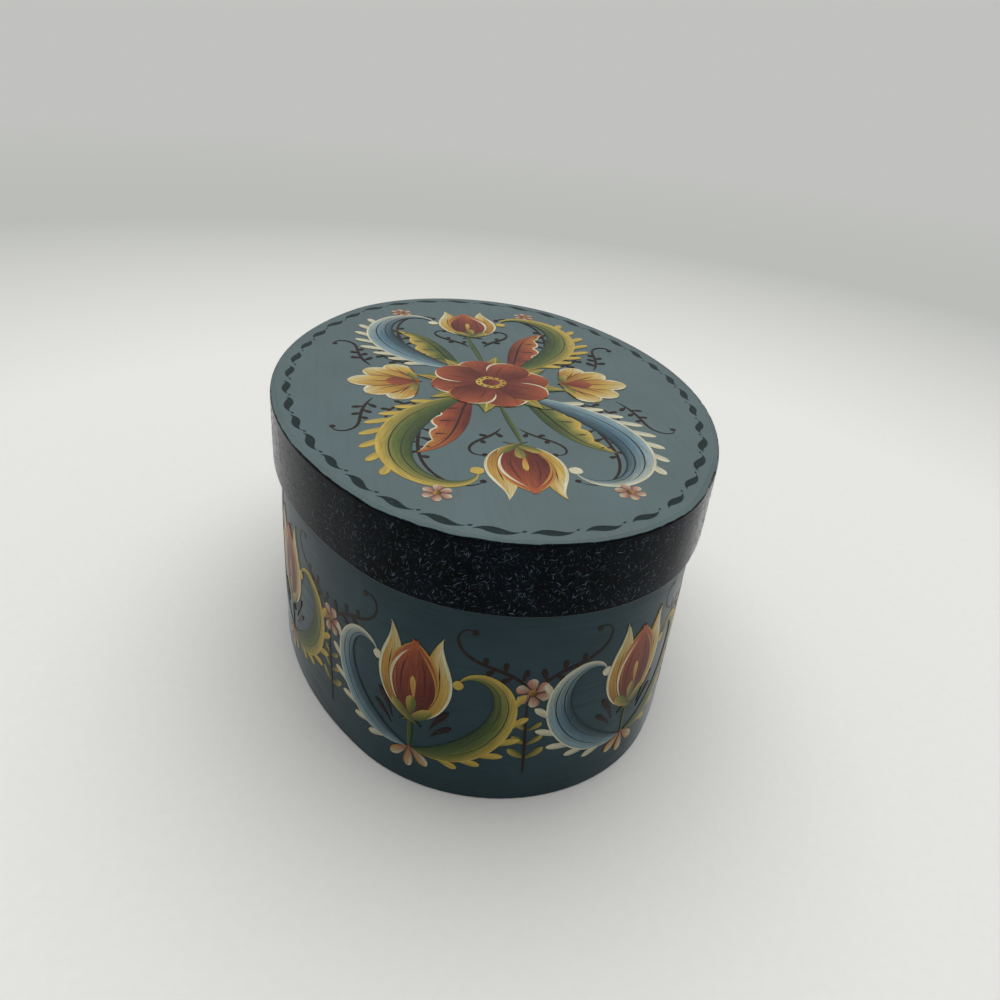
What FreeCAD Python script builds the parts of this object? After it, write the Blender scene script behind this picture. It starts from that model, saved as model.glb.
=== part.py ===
import FreeCAD, Part
import math
import os
import Sketcher

# Oval bentwood box with a lift-off lid.
# Millimetres, origin at the centre of the underside, X along the oval, Z up.
# All ovals share the centres of one four-arc oval, so every wall has an even thickness:
# two end arcs about centres on the X axis, two flatter side arcs about centres on the Y axis.

DRIVING_SIZES = {
    # Box wall, over its outer face
    "body_length": 205.6,
    "body_width": 147.0,
    "body_end_radius": 58.8,
    "body_height": 87.6,
    "body_band_thickness": 2.0,
    "body_rim_round": 0.5,
    "bottom_thickness": 6.0,
    # Lid: its board rests on the rim of the box, its band reaches down outside the wall
    "lid_board_thickness": 6.0,
    "lid_band_thickness": 1.9,
    "lid_band_height": 22.7,
    "lid_clearance": 0.3,
    "lid_edge_round": 0.7,
    "board_clearance": 0.05,
    # Scarfed laps, where the two ends of a bent strip overlap in the middle of the +Y side
    "body_lap_length": 46.0,
    "lid_lap_length": 40.0,
    "lap_tip": 0.4,
    "lap_blend": 9.0,
    "glue_line": 0.1,
    # Wooden pegs through each band into the edge of its board
    "peg_diameter": 2.2,
    "peg_length": 12.0,
    "peg_clearance": 0.05,
    "pegs_per_end": 4,
    "pegs_per_side": 5,
    # Root lacing through the lap of the box wall
    "stitch_count": 5,
    "stitch_start": 16.0,
    "stitch_pitch": 11.0,
    "stitch_span": 13.0,
    "lace_width": 3.6,
    "lace_thickness": 0.8,
    "lace_clearance": 0.1,
}

doc = FreeCAD.newDocument("OvalBentwoodBox")
sheet = doc.addObject("Spreadsheet::Sheet", "Sizes")
for row, (alias, value) in enumerate(DRIVING_SIZES.items(), start=1):
    sheet.set(f"A{row}", alias)
    sheet.set(f"B{row}", str(value))
    sheet.setAlias(f"B{row}", alias)
doc.recompute()


def size(alias):
    """The number that the sheet holds under an alias."""
    return float(sheet.get(alias))


# Formulas over the sheet for sketch constraints and feature sizes
END_CENTRE = "(Sizes.body_length / 2 - Sizes.body_end_radius)"
HALF_WIDTH = "(Sizes.body_width / 2)"
SIDE_RADIUS = (
    f"(({END_CENTRE}^2 + {HALF_WIDTH}^2 - Sizes.body_end_radius^2)"
    f" / (2 * ({HALF_WIDTH} - Sizes.body_end_radius)))"
)

# The same arcs as numbers, for first sketch positions and for placing pegs
end_centre = size("body_length") / 2 - size("body_end_radius")
half_width = size("body_width") / 2
side_radius = (end_centre**2 + half_width**2 - size("body_end_radius") ** 2) / (
    2 * (half_width - size("body_end_radius"))
)
side_centre = side_radius - half_width
join_angle = math.atan2(side_centre, end_centre)

# Offsets from the outer face of the box wall, outward positive
BODY_INNER = "(0 - Sizes.body_band_thickness)"
BOTTOM_EDGE = "(0 - Sizes.body_band_thickness - Sizes.board_clearance)"
LID_INNER = "(Sizes.lid_clearance)"
LID_OUTER = "(Sizes.lid_clearance + Sizes.lid_band_thickness)"
LID_BOARD_EDGE = "(Sizes.lid_clearance - Sizes.board_clearance)"
LID_TOP = "(Sizes.body_height + Sizes.lid_board_thickness)"
LID_FOOT = f"({LID_TOP} - Sizes.lid_band_height)"

bottom_edge = -size("body_band_thickness") - size("board_clearance")
lid_outer = size("lid_clearance") + size("lid_band_thickness")
lid_board_edge = size("lid_clearance") - size("board_clearance")
lid_top = size("body_height") + size("lid_board_thickness")
lid_foot = lid_top - size("lid_band_height")

# How sketch constraints name the two axes, and the ends and centre of an arc or line
X_AXIS, Y_AXIS = range(-1, -3, -1)
START, END, CENTRE = range(1, 4)


def new_body(name):
    """An empty body, with a Label that can later name a file."""
    body = doc.addObject("PartDesign::Body", name)
    body.Label = name
    return body


def new_sketch(body, name, role, height="0"):
    """A sketch on one of the body's own origin planes, raised along the plane's normal."""
    sketch = body.newObject("Sketcher::SketchObject", name)
    plane = next(feature for feature in body.Origin.OriginFeatures if feature.Role == role)
    sketch.AttachmentSupport = [(plane, "")]
    sketch.MapMode = "FlatFace"
    sketch.setExpression("AttachmentOffset.Base.z", height)
    return sketch


def constrain(sketch, formula, kind, *where):
    """Adds a dimension to a sketch and binds it to a formula over the sheet."""
    value = float(sketch.evalExpression(formula))
    index = sketch.addConstraint(Sketcher.Constraint(kind, *where, value))
    sketch.setExpression(f"Constraints[{index}]", formula)


def arc(centre_x, centre_y, radius, first, last):
    """A circular arc in a sketch plane, anticlockwise from first to last."""
    circle = Part.Circle(FreeCAD.Vector(centre_x, centre_y, 0), FreeCAD.Vector(0, 0, 1), radius)
    return Part.ArcOfCircle(circle, first, last)


def draw_half_oval(sketch, offset, formula):
    """Draws the +X half of the oval at an offset, and returns its lower and upper side arcs."""
    end_radius = size("body_end_radius") + offset
    radius = side_radius + offset
    end = sketch.addGeometry(arc(end_centre, 0, end_radius, -join_angle, join_angle))
    upper = sketch.addGeometry(arc(0, -side_centre, radius, join_angle, math.pi / 2))
    lower = sketch.addGeometry(arc(0, side_centre, radius, -math.pi / 2, -join_angle))
    sketch.addConstraint(Sketcher.Constraint("PointOnObject", end, CENTRE, X_AXIS))
    sketch.addConstraint(Sketcher.Constraint("PointOnObject", upper, CENTRE, Y_AXIS))
    sketch.addConstraint(Sketcher.Constraint("PointOnObject", lower, CENTRE, Y_AXIS))
    sketch.addConstraint(Sketcher.Constraint("PointOnObject", upper, END, Y_AXIS))
    sketch.addConstraint(Sketcher.Constraint("PointOnObject", lower, START, Y_AXIS))
    sketch.addConstraint(Sketcher.Constraint("Tangent", end, END, upper, START))
    sketch.addConstraint(Sketcher.Constraint("Tangent", lower, END, end, START))
    constrain(sketch, END_CENTRE, "DistanceX", X_AXIS, START, end, CENTRE)
    constrain(sketch, f"Sizes.body_end_radius + {formula}", "Radius", end)
    constrain(sketch, f"{HALF_WIDTH} + {formula}", "DistanceY", X_AXIS, START, upper, END)
    constrain(sketch, f"0 - {HALF_WIDTH} - {formula}", "DistanceY", X_AXIS, START, lower, START)
    return lower, upper


def close_on_axis(sketch, first, first_end, second, second_end):
    """Joins two arc ends that lie on the Y axis with a straight line."""
    points = [sketch.getPoint(first, first_end), sketch.getPoint(second, second_end)]
    line = sketch.addGeometry(Part.LineSegment(*points))
    sketch.addConstraint(Sketcher.Constraint("Coincident", line, START, first, first_end))
    sketch.addConstraint(Sketcher.Constraint("Coincident", line, END, second, second_end))


def pad_and_mirror(body, sketch, height):
    """Pads a half section upwards and mirrors it to the whole oval."""
    pad = body.newObject("PartDesign::Pad", "Pad")
    pad.Profile = sketch
    pad.setExpression("Length", height)
    mirrored = body.newObject("PartDesign::Mirrored", "BothHalves")
    mirrored.Originals = [pad]
    mirrored.MirrorPlane = (sketch, ["V_Axis"])
    body.Tip = mirrored
    doc.recompute()
    return mirrored


def oval_edges(feature, offset, height):
    """Names of the arcs of one oval outline of a feature."""
    radii = (size("body_end_radius") + offset, side_radius + offset)
    names = []
    for index, edge in enumerate(feature.Shape.Edges, start=1):
        level = abs(edge.BoundBox.ZMin - height) < 1e-5 and abs(edge.BoundBox.ZMax - height) < 1e-5
        if level and isinstance(edge.Curve, Part.Circle):
            if min(abs(edge.Curve.Radius - radius) for radius in radii) < 1e-5:
                names.append(f"Edge{index}")
    return names


def round_edges(body, feature, edges, radius):
    """Rounds named edges of a feature by a sheet formula."""
    fillet = body.newObject("PartDesign::Fillet", "Round")
    fillet.Base = (feature, edges)
    fillet.setExpression("Radius", radius)
    body.Tip = fillet
    doc.recompute()
    return fillet


def draw_board(name, offset, formula, foot, thickness):
    """A flat oval board with its edge at an offset, standing on a height."""
    body = new_body(name)
    sketch = new_sketch(body, "Outline", "XY_Plane", foot)
    lower, upper = draw_half_oval(sketch, offset, formula)
    close_on_axis(sketch, upper, END, lower, START)
    pad_and_mirror(body, sketch, thickness)
    return body


def draw_hoop(name, inner, inner_formula, outer, outer_formula, foot, height):
    """A closed oval hoop between two offsets, standing on a height."""
    body = new_body(name)
    sketch = new_sketch(body, "WallSection", "XY_Plane", foot)
    outer_lower, outer_upper = draw_half_oval(sketch, outer, outer_formula)
    inner_lower, inner_upper = draw_half_oval(sketch, inner, inner_formula)
    close_on_axis(sketch, outer_upper, END, inner_upper, END)
    close_on_axis(sketch, outer_lower, START, inner_lower, START)
    return body, pad_and_mirror(body, sketch, height)


def cut_through(body, sketch, name, reversed_side=False):
    """Cuts a sketch through the body on one side of its plane."""
    before = body.Shape.Volume
    pocket = body.newObject("PartDesign::Pocket", name)
    pocket.Profile = sketch
    pocket.Type = "ThroughAll"
    pocket.Reversed = reversed_side
    body.Tip = pocket
    doc.recompute()
    if not body.Shape.Volume < before - 1:
        raise RuntimeError(f"{name} of {body.Label} cuts nothing")


def bulge(first, second):
    """Rise of a side arc of the wall over the chord between two points."""
    half_chord = first.distanceToPoint(second) / 2
    return side_radius - math.sqrt(side_radius**2 - half_chord**2)


def cut_scarf_lap(body, inner_formula, outer_formula, lap_length, foot):
    """Parts a hoop into a strip whose two tapered ends overlap.

    The cut is the glue line, which runs slantwise through the wall from one blunt tip to the other,
    with the shallow dip beyond each tip where the other end bends under it.
    """
    margin = "2"
    tip = "Sizes.lap_tip"
    tip_and_glue = "(Sizes.lap_tip + Sizes.glue_line)"
    half_lap = f"({lap_length} / 2 / {SIDE_RADIUS})"
    blend = f"({half_lap} + Sizes.lap_blend / {SIDE_RADIUS})"
    outside = f"{SIDE_RADIUS} + {outer_formula}"
    inside = f"{SIDE_RADIUS} + {inner_formula}"
    # Corners as a radius about the side arc's centre, an angle from the Y axis and a side of it
    corners = [
        (outside, blend, 1),
        (f"{outside} - {tip_and_glue}", half_lap, 1),
        (f"{inside} + {tip}", half_lap, -1),
        (f"{inside} - {margin}", half_lap, -1),
        (f"{inside} - {margin}", blend, -1),
        (inside, blend, -1),
        (f"{inside} + {tip_and_glue}", half_lap, -1),
        (f"{outside} - {tip}", half_lap, 1),
        (f"{outside} + {margin}", half_lap, 1),
        (f"{outside} + {margin}", blend, 1),
    ]
    long_arcs = (1, 6)
    sketch = new_sketch(body, "ScarfLine", "XY_Plane", foot)
    centre_height = f"({HALF_WIDTH} - {SIDE_RADIUS})"
    places = []
    for radius, angle, side in corners:
        across = f"({side}) * ({radius}) * sin({angle} * 1 rad)"
        along = f"{centre_height} + ({radius}) * cos({angle} * 1 rad)"
        places.append((across, along))
    spots = [FreeCAD.Vector(*[float(sketch.evalExpression(way)) for way in place]) for place in places]
    near_ends, far_ends = [], []
    for index, spot in enumerate(spots):
        following = spots[(index + 1) % len(spots)]
        if index in long_arcs:
            right, left = sorted((spot, following), key=lambda point: -point.x)
            crown = (right + left) / 2 + FreeCAD.Vector(0, bulge(right, left), 0)
            sketch.addGeometry(Part.Arc(right, crown, left))
            constrain(sketch, centre_height, "DistanceY", X_AXIS, START, index, CENTRE)
        else:
            sketch.addGeometry(Part.LineSegment(spot, following))
        turned = index in long_arcs and spot.x < following.x
        near_ends.append(END if turned else START)
        far_ends.append(START if turned else END)
    for index, (across, along) in enumerate(places):
        following = (index + 1) % len(spots)
        meeting = (index, far_ends[index], following, near_ends[following])
        sketch.addConstraint(Sketcher.Constraint("Coincident", *meeting))
        constrain(sketch, across, "DistanceX", X_AXIS, START, index, near_ends[index])
        constrain(sketch, along, "DistanceY", X_AXIS, START, index, near_ends[index])
    cut_through(body, sketch, "ScarfCut", reversed_side=True)


def draw_rectangle(sketch, left, right, foot, top):
    """An upright rectangle in a sketch, its four sides bound to formulas."""
    numbers = [float(sketch.evalExpression(formula)) for formula in (left, right, foot, top)]
    x_left, x_right, y_foot, y_top = numbers
    corners = [(x_left, y_foot), (x_right, y_foot), (x_right, y_top), (x_left, y_top)]
    places = [(left, foot), (right, foot), (right, top), (left, top)]
    first = sketch.GeometryCount
    for index, corner in enumerate(corners):
        start = FreeCAD.Vector(*corner)
        end = FreeCAD.Vector(*corners[(index + 1) % 4])
        sketch.addGeometry(Part.LineSegment(start, end))
    for index, (across, along) in enumerate(places):
        following = first + (index + 1) % 4
        sketch.addConstraint(Sketcher.Constraint("Coincident", first + index, END, following, START))
        constrain(sketch, across, "DistanceX", X_AXIS, START, first + index, START)
        constrain(sketch, along, "DistanceY", X_AXIS, START, first + index, START)


def cut_slits(body):
    """Cuts the pairs of upright slits that the root lacing passes through."""
    sketch = new_sketch(body, "Slits", "XZ_Plane")
    half_wide = "(Sizes.lace_thickness / 2 + Sizes.lace_clearance)"
    half_tall = "(Sizes.lace_width / 2 + Sizes.lace_clearance)"
    for stitch in range(int(size("stitch_count"))):
        middle = f"(Sizes.stitch_start + {stitch} * Sizes.stitch_pitch)"
        for side in ("(0 - Sizes.stitch_span / 2)", "(Sizes.stitch_span / 2)"):
            left, right = f"{side} - {half_wide}", f"{side} + {half_wide}"
            draw_rectangle(sketch, left, right, f"{middle} - {half_tall}", f"{middle} + {half_tall}")
    cut_through(body, sketch, "SlitCut")


def peg_spots():
    """Centre, direction angle and arc radius for every peg round the outer face of the wall."""
    spots = []
    end_count, side_count = int(size("pegs_per_end")), int(size("pegs_per_side"))
    side_span = math.pi - 2 * join_angle
    for turn in (0, math.pi):
        sign = math.cos(turn)
        for index in range(end_count):
            angle = join_angle * ((2 * index + 1) / end_count - 1)
            spots.append((sign * end_centre, 0, turn + angle, size("body_end_radius")))
        for index in range(side_count):
            angle = join_angle + side_span * (index + 0.5) / side_count
            spots.append((0, -sign * side_centre, turn + angle, side_radius))
    return spots


def draw_pins(name, offset, height, radius, length, overshoot):
    """Radial pins through a wall whose outer face lies at an offset, as one group."""
    pins = []
    for index, (centre_x, centre_y, angle, arc_radius) in enumerate(peg_spots(), start=1):
        pin = doc.addObject("Part::Cylinder", f"{name}_{index}")
        pin.setExpression("Radius", radius)
        pin.setExpression("Height", length)
        reach = arc_radius + offset + overshoot
        head_x, head_y = centre_x + reach * math.cos(angle), centre_y + reach * math.sin(angle)
        head = FreeCAD.Vector(head_x, head_y, height)
        inward = FreeCAD.Vector(-math.cos(angle), -math.sin(angle), 0)
        pin.Placement = FreeCAD.Placement(head, FreeCAD.Rotation(FreeCAD.Vector(0, 0, 1), inward))
        pins.append(pin)
    group = doc.addObject("Part::Compound", name)
    group.Label = name
    group.Links = pins
    return group


def draw_pegs(name, offset, height):
    """The pegs of one board, flush with the outer face of its band."""
    return draw_pins(name, offset, height, "Sizes.peg_diameter / 2", "Sizes.peg_length", 0)


def drill(body, name, holes):
    """A piece with its peg holes, under the name of the finished piece."""
    piece = doc.addObject("Part::Cut", name)
    piece.Base = body
    piece.Tool = holes
    piece.Label = name
    return piece


def draw_holes(name, offset, height):
    """Room for the pegs of one board, a clearance wider and deeper, and open to the outside."""
    overshoot = 1.0
    radius = "Sizes.peg_diameter / 2 + Sizes.peg_clearance"
    length = f"Sizes.peg_length + Sizes.peg_clearance + {overshoot}"
    return draw_pins(name, offset, height, radius, length, overshoot)


def lace_run(name, length, depth, place):
    """One straight stretch of the flat root lacing."""
    run = doc.addObject("Part::Box", name)
    run.setExpression("Length", length)
    run.setExpression("Width", depth)
    run.setExpression("Height", "Sizes.lace_width")
    run.Placement = place
    return run


def draw_lacing():
    """Flat root laced in and out of the slits: level outside, slanting up to the next pair inside."""
    span, thick = size("stitch_span"), size("lace_thickness")
    wide, clear = size("lace_width"), size("lace_clearance")
    wall = size("body_band_thickness")
    sagitta = (span / 2 + thick) ** 2 / (2 * (side_radius - wall))
    inner_face = half_width - wall - sagitta - clear
    outer_face = half_width + clear
    level = FreeCAD.Rotation()
    count = int(size("stitch_count"))
    leg_depth = outer_face - inner_face + 2 * thick
    runs = []
    for stitch in range(count):
        foot = size("stitch_start") + stitch * size("stitch_pitch") - wide / 2
        left = FreeCAD.Vector(-span / 2 - thick / 2, outer_face, foot)
        across = "Sizes.stitch_span + Sizes.lace_thickness"
        level_run = FreeCAD.Placement(left, level)
        runs.append(lace_run(f"outer_run_{stitch + 1}", across, "Sizes.lace_thickness", level_run))
        for side in (-1, 1):
            corner = FreeCAD.Vector(side * span / 2 - thick / 2, inner_face - thick, foot)
            name = f"leg_{2 * stitch + (side + 1) // 2 + 1}"
            leg = FreeCAD.Placement(corner, level)
            runs.append(lace_run(name, "Sizes.lace_thickness", str(leg_depth), leg))
        if stitch + 1 == count:
            continue
        rise = math.atan2(size("stitch_pitch"), span)
        middle = FreeCAD.Vector(0, inner_face - thick, foot + wide / 2 + size("stitch_pitch") / 2)
        slant = FreeCAD.Rotation(FreeCAD.Vector(0, 1, 0), math.degrees(rise))
        slant_length = math.hypot(span, size("stitch_pitch"))
        corner = middle + slant.multVec(FreeCAD.Vector(-slant_length / 2, 0, -wide / 2))
        slanting = FreeCAD.Placement(corner, slant)
        name = f"inner_run_{stitch + 1}"
        runs.append(lace_run(name, str(slant_length), "Sizes.lace_thickness", slanting))
    lacing = doc.addObject("Part::MultiFuse", "body_lacing")
    lacing.Shapes = runs
    lacing.Label = "body_lacing"
    return lacing


# Bottom board, flush with the foot of the wall and held by its pegs
bottom_blank = draw_board("bottom_blank", bottom_edge, BOTTOM_EDGE, "0", "Sizes.bottom_thickness")
bottom_peg_height = size("bottom_thickness") / 2
bottom_pegs = draw_pegs("bottom_pegs", 0, bottom_peg_height)
bottom_holes = draw_holes("bottom_holes", 0, bottom_peg_height)
bottom_board = drill(bottom_blank, "bottom_board", bottom_holes)

# Wall of the box: a bent strip, its rim and foot eased, its lap scarfed and laced
body_inner = -size("body_band_thickness")
wall_blank, wall_hoop = draw_hoop(
    "wall_blank", body_inner, BODY_INNER, 0, "(0)", "0", "Sizes.body_height"
)
rim_height = size("body_height")
eased = oval_edges(wall_hoop, 0, rim_height) + oval_edges(wall_hoop, body_inner, rim_height)
eased += oval_edges(wall_hoop, 0, 0)
round_edges(wall_blank, wall_hoop, eased, "Sizes.body_rim_round")
cut_scarf_lap(wall_blank, BODY_INNER, "(0)", "Sizes.body_lap_length", "0")
cut_slits(wall_blank)
body_band = drill(wall_blank, "body_band", bottom_holes)
body_lacing = draw_lacing()

# Lid board, resting on the rim of the box
lid_blank = draw_board(
    "lid_blank", lid_board_edge, LID_BOARD_EDGE, "Sizes.body_height", "Sizes.lid_board_thickness"
)
lid_peg_height = size("body_height") + size("lid_board_thickness") / 2
lid_pegs = draw_pegs("lid_pegs", lid_outer, lid_peg_height)
lid_holes = draw_holes("lid_holes", lid_outer, lid_peg_height)
lid_board = drill(lid_blank, "lid_board", lid_holes)

# Lid band, round the lid board and down outside the wall
lid_inner = size("lid_clearance")
lid_wall_blank, lid_hoop = draw_hoop(
    "lid_wall_blank", lid_inner, LID_INNER, lid_outer, LID_OUTER, LID_FOOT, "Sizes.lid_band_height"
)
lid_edges = oval_edges(lid_hoop, lid_outer, lid_top) + oval_edges(lid_hoop, lid_outer, lid_foot)
round_edges(lid_wall_blank, lid_hoop, lid_edges, "Sizes.lid_edge_round")
cut_scarf_lap(lid_wall_blank, LID_INNER, LID_OUTER, "Sizes.lid_lap_length", LID_FOOT)
lid_band = drill(lid_wall_blank, "lid_band", lid_holes)

doc.recompute()
pieces = [bottom_board, bottom_pegs, body_band, body_lacing, lid_board, lid_pegs, lid_band]
for item in doc.Objects:
    if "Invalid" in item.State or "Error" in item.State:
        raise RuntimeError(f"{item.Label} failed: {item.State}")
for piece in pieces:
    if piece.Shape.isNull() or not piece.Shape.isValid():
        raise RuntimeError(f"{piece.Label} has no valid shape")

os.makedirs("parts", exist_ok=True)
for piece in pieces:
    piece.Shape.exportStep(os.path.join("parts", f"{piece.Label}.step"))
    print(piece.Label, "solids:", len(piece.Shape.Solids), "volume:", round(piece.Shape.Volume, 1))
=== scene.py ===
import math
import random

import bmesh
import bpy
from mathutils import Matrix, Vector
from mathutils.bvhtree import BVHTree


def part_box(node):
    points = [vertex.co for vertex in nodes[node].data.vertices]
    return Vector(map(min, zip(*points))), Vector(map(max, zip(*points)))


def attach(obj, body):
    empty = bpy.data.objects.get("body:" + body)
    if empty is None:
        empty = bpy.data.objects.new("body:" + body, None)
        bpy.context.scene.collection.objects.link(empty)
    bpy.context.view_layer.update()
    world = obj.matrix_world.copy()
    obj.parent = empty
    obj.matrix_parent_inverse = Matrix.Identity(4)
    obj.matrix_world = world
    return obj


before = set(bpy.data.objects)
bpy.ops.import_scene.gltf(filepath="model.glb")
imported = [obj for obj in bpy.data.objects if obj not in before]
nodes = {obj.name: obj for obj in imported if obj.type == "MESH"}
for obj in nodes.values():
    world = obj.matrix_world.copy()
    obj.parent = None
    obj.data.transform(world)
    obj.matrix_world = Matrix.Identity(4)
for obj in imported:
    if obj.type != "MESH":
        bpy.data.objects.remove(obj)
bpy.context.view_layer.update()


# Bottom board
# A flat slab of birch, planed and thinly oiled, that sits inside the foot of the wall.
# Small pegs through the wall hold it, so only its upper and lower faces show.
MM = 0.001
BOARD_GRAIN = (38.0, 0.9, 0.9)


def colour(hex_code):
    """An sRGB hex colour as a linear shader colour."""
    parts = [int(hex_code[i : i + 2], 16) / 255 for i in (1, 3, 5)]
    linear = [p / 12.92 if p <= 0.04045 else ((p + 0.055) / 1.055) ** 2.4 for p in parts]
    return (*linear, 1.0)


def feed(node, inputs):
    """Sets a node's inputs, each to a value, or to the output or the node that feeds it."""
    for socket, value in inputs.items():
        if isinstance(value, bpy.types.Node):
            value = value.outputs[0]
        if isinstance(value, bpy.types.NodeSocket):
            node.id_data.links.new(value, node.inputs[socket])
        else:
            node.inputs[socket].default_value = value


def add(tree, kind, inputs=None, **settings):
    """Adds a shader node with its settings and its links."""
    made = tree.nodes.new(kind)
    for name, value in settings.items():
        setattr(made, name, value)
    feed(made, inputs or {})
    return made


def new_material(name):
    """A node material, with its tree, its Principled shader and the coordinates of its piece."""
    material = bpy.data.materials.new(name)
    material.use_nodes = True
    tree = material.node_tree
    tree.nodes.clear()
    shader = add(tree, "ShaderNodeBsdfPrincipled")
    add(tree, "ShaderNodeOutputMaterial", {"Surface": shader})
    return material, tree, shader, add(tree, "ShaderNodeTexCoord").outputs["Object"]


def mottle(tree, place, size, detail):
    """Noise in grains of a real size, which is given in millimetres along X, Y and Z."""
    mapped = {"Vector": place, "Scale": [1.0 / (s * MM) for s in size]}
    noise = {"Vector": add(tree, "ShaderNodeMapping", mapped), "Scale": 1.0, "Detail": detail}
    return add(tree, "ShaderNodeTexNoise", noise).outputs["Fac"]


def coats(tree, ground, *layers):
    """A ground colour under layers: each has a tint, a noise, where that brings it in, and its most."""
    for tint, noise, low, high, most in layers:
        share = add(tree, "ShaderNodeMapRange", {0: noise, 1: low, 2: high, 4: most})
        colours = {0: share, 6: ground, 7: tint}
        ground = add(tree, "ShaderNodeMix", colours, data_type="RGBA").outputs[2]
    return ground


def bare_birch(tree, place, grain, light="#dcc9a6", dark="#c8ab7c"):
    """Colour and relief of planed birch: fine fibres along the grain and a few darker growth bands."""
    fibres = mottle(tree, place, grain, 4.0)
    bands = mottle(tree, place, [g * 6 for g in grain], 2.0)
    growth = (colour(dark), bands, 0.35, 0.7, 1.0)
    return coats(tree, colour(light), growth, (colour("#a5835a"), fibres, 0.45, 0.75, 0.45)), fibres


def dress(node, material):
    """Gives every slot of a CAD node one material."""
    slots = nodes[node].data.materials
    for index in range(len(slots)):
        slots[index] = material
    if not slots:
        slots.append(material)


# Planed birch with a thin oil finish: pale, warm and matt, with fine fibres along the board
board_birch, tree, shader, place = new_material("planed_birch_board")
wood, fibres = bare_birch(tree, place, BOARD_GRAIN)
relief = add(tree, "ShaderNodeBump", {"Height": fibres, "Distance": 0.05 * MM})
feed(shader, {"Base Color": wood, "Roughness": 0.55, "IOR": 1.5, "Normal": relief})
dress("bottom_board", board_birch)


# Wall of the box
# One strip of birch, bent to an oval with its scarfed ends lapped, and painted with teal oil paint.
# Only its outer face and its rims are painted. Inside, the wood is bare.
STRIP_GRAIN = (40.0, 40.0, 0.8)
WALL_BRUSH = (26.0, 26.0, 1.6)


def outer_side(tree, place):
    """1 on faces that look out from the middle of the box and on its rims, 0 on the inner faces."""
    flat = add(tree, "ShaderNodeVectorMath", {0: place, 1: (1, 1, 0)}, operation="MULTIPLY")
    ray = add(tree, "ShaderNodeVectorMath", {0: flat}, operation="NORMALIZE")
    normal = add(tree, "ShaderNodeNewGeometry").outputs["Normal"]
    facing = add(tree, "ShaderNodeVectorMath", {0: ray, 1: normal}, operation="DOT_PRODUCT")
    return add(tree, "ShaderNodeMapRange", {0: facing.outputs["Value"], 1: -0.3, 2: -0.2})


def teal_paint(tree, place, brush, base, lighter, darker):
    """Colour, roughness and relief of teal oil paint, brushed by hand over fine grain."""
    clouds = mottle(tree, place, (24.0, 24.0, 14.0), 2.0)
    marks = mottle(tree, place, brush, 3.0)
    grain = mottle(tree, place, [b * 0.3 for b in brush], 2.0)
    cloudy = (colour(lighter), clouds, 0.35, 0.65, 1.0)
    tone = coats(tree, colour(base), cloudy, (colour(darker), marks, 0.5, 0.8, 0.5))
    gloss = add(tree, "ShaderNodeMapRange", {0: marks, 1: 0.3, 2: 0.7, 3: 0.33, 4: 0.43})
    relief = add(tree, "ShaderNodeMath", {0: marks, 1: 0.6, 2: grain}, operation="MULTIPLY_ADD")
    return tone, gloss, relief


# Oil paint dried satin: soft clouds of teal, painted darker than the lid's same paint as painted shade on
# the upright wall, level brush marks, and a grey sheen seen edge on
shaded_wall_paint, tree, shader, place = new_material("teal_oil_paint_wall_painted_shade")
outside = outer_side(tree, place)
# The wall's teal is the lid's teal darkened: painted shade, since the real wall and lid share one paint
paint, gloss, relief = teal_paint(tree, place, WALL_BRUSH, "#2b4047", "#31474e", "#24373d")
wood, _ = bare_birch(tree, place, STRIP_GRAIN)
tone = add(tree, "ShaderNodeMix", {0: outside, 6: wood, 7: paint}, data_type="RGBA").outputs[2]
feed(shader, {
    "Base Color": tone,
    "Roughness": add(tree, "ShaderNodeMix", {0: outside, 2: 0.6, 3: gloss}, data_type="FLOAT"),
    "IOR": 1.5,
    "Specular IOR Level": 0.1,
    "Sheen Weight": 0.4,
    "Sheen Roughness": 0.26,
    "Normal": add(tree, "ShaderNodeBump", {"Height": relief, "Distance": 0.03 * MM}),
})
dress("body_band", shaded_wall_paint)


# Root lacing of the wall's lap
# Split spruce root, flat on its inner side, that is drawn through slits and holds the lap together.
# It was painted over outside with the wall, and is bare inside.
ROOT_BRUSH = (9.0, 9.0, 0.7)
ROOT_GRAIN = (20.0, 20.0, 0.6)

# Spruce root under the wall's oil paint: the wall's teal, darkened like it as painted shade and a touch
# lighter than the wall, with coarser ridges
lacing_paint, tree, shader, place = new_material("painted_root")
outside = outer_side(tree, place)
# These teals follow the wall's painted shade: darker than the lid's same paint
paint, _, relief = teal_paint(tree, place, ROOT_BRUSH, "#30464d", "#394f57", "#273a41")
wood, _ = bare_birch(tree, place, ROOT_GRAIN, "#d0b084", "#b08a5a")
tone = add(tree, "ShaderNodeMix", {0: outside, 6: wood, 7: paint}, data_type="RGBA").outputs[2]
feed(shader, {
    "Base Color": tone,
    "Roughness": 0.42,
    "IOR": 1.5,
    "Specular IOR Level": 0.15,
    "Normal": add(tree, "ShaderNodeBump", {"Height": relief, "Distance": 0.08 * MM}),
})
dress("body_lacing", lacing_paint)


# Bottom pegs
# Small birch pegs, driven through the wall into the bottom board's edge and cut flush.
# Their heads were painted over with the wall.
dress("bottom_pegs", shaded_wall_paint)


# Lid board
# A flat slab of birch inside the lid band, painted on top with teal and bare below; the wall carries the
# same teal, darkened there as painted shade.
# Pegs through the band hold it, and it rests on the rim of the wall.
LID_BRUSH = (34.0, 2.2, 30.0)


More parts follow.
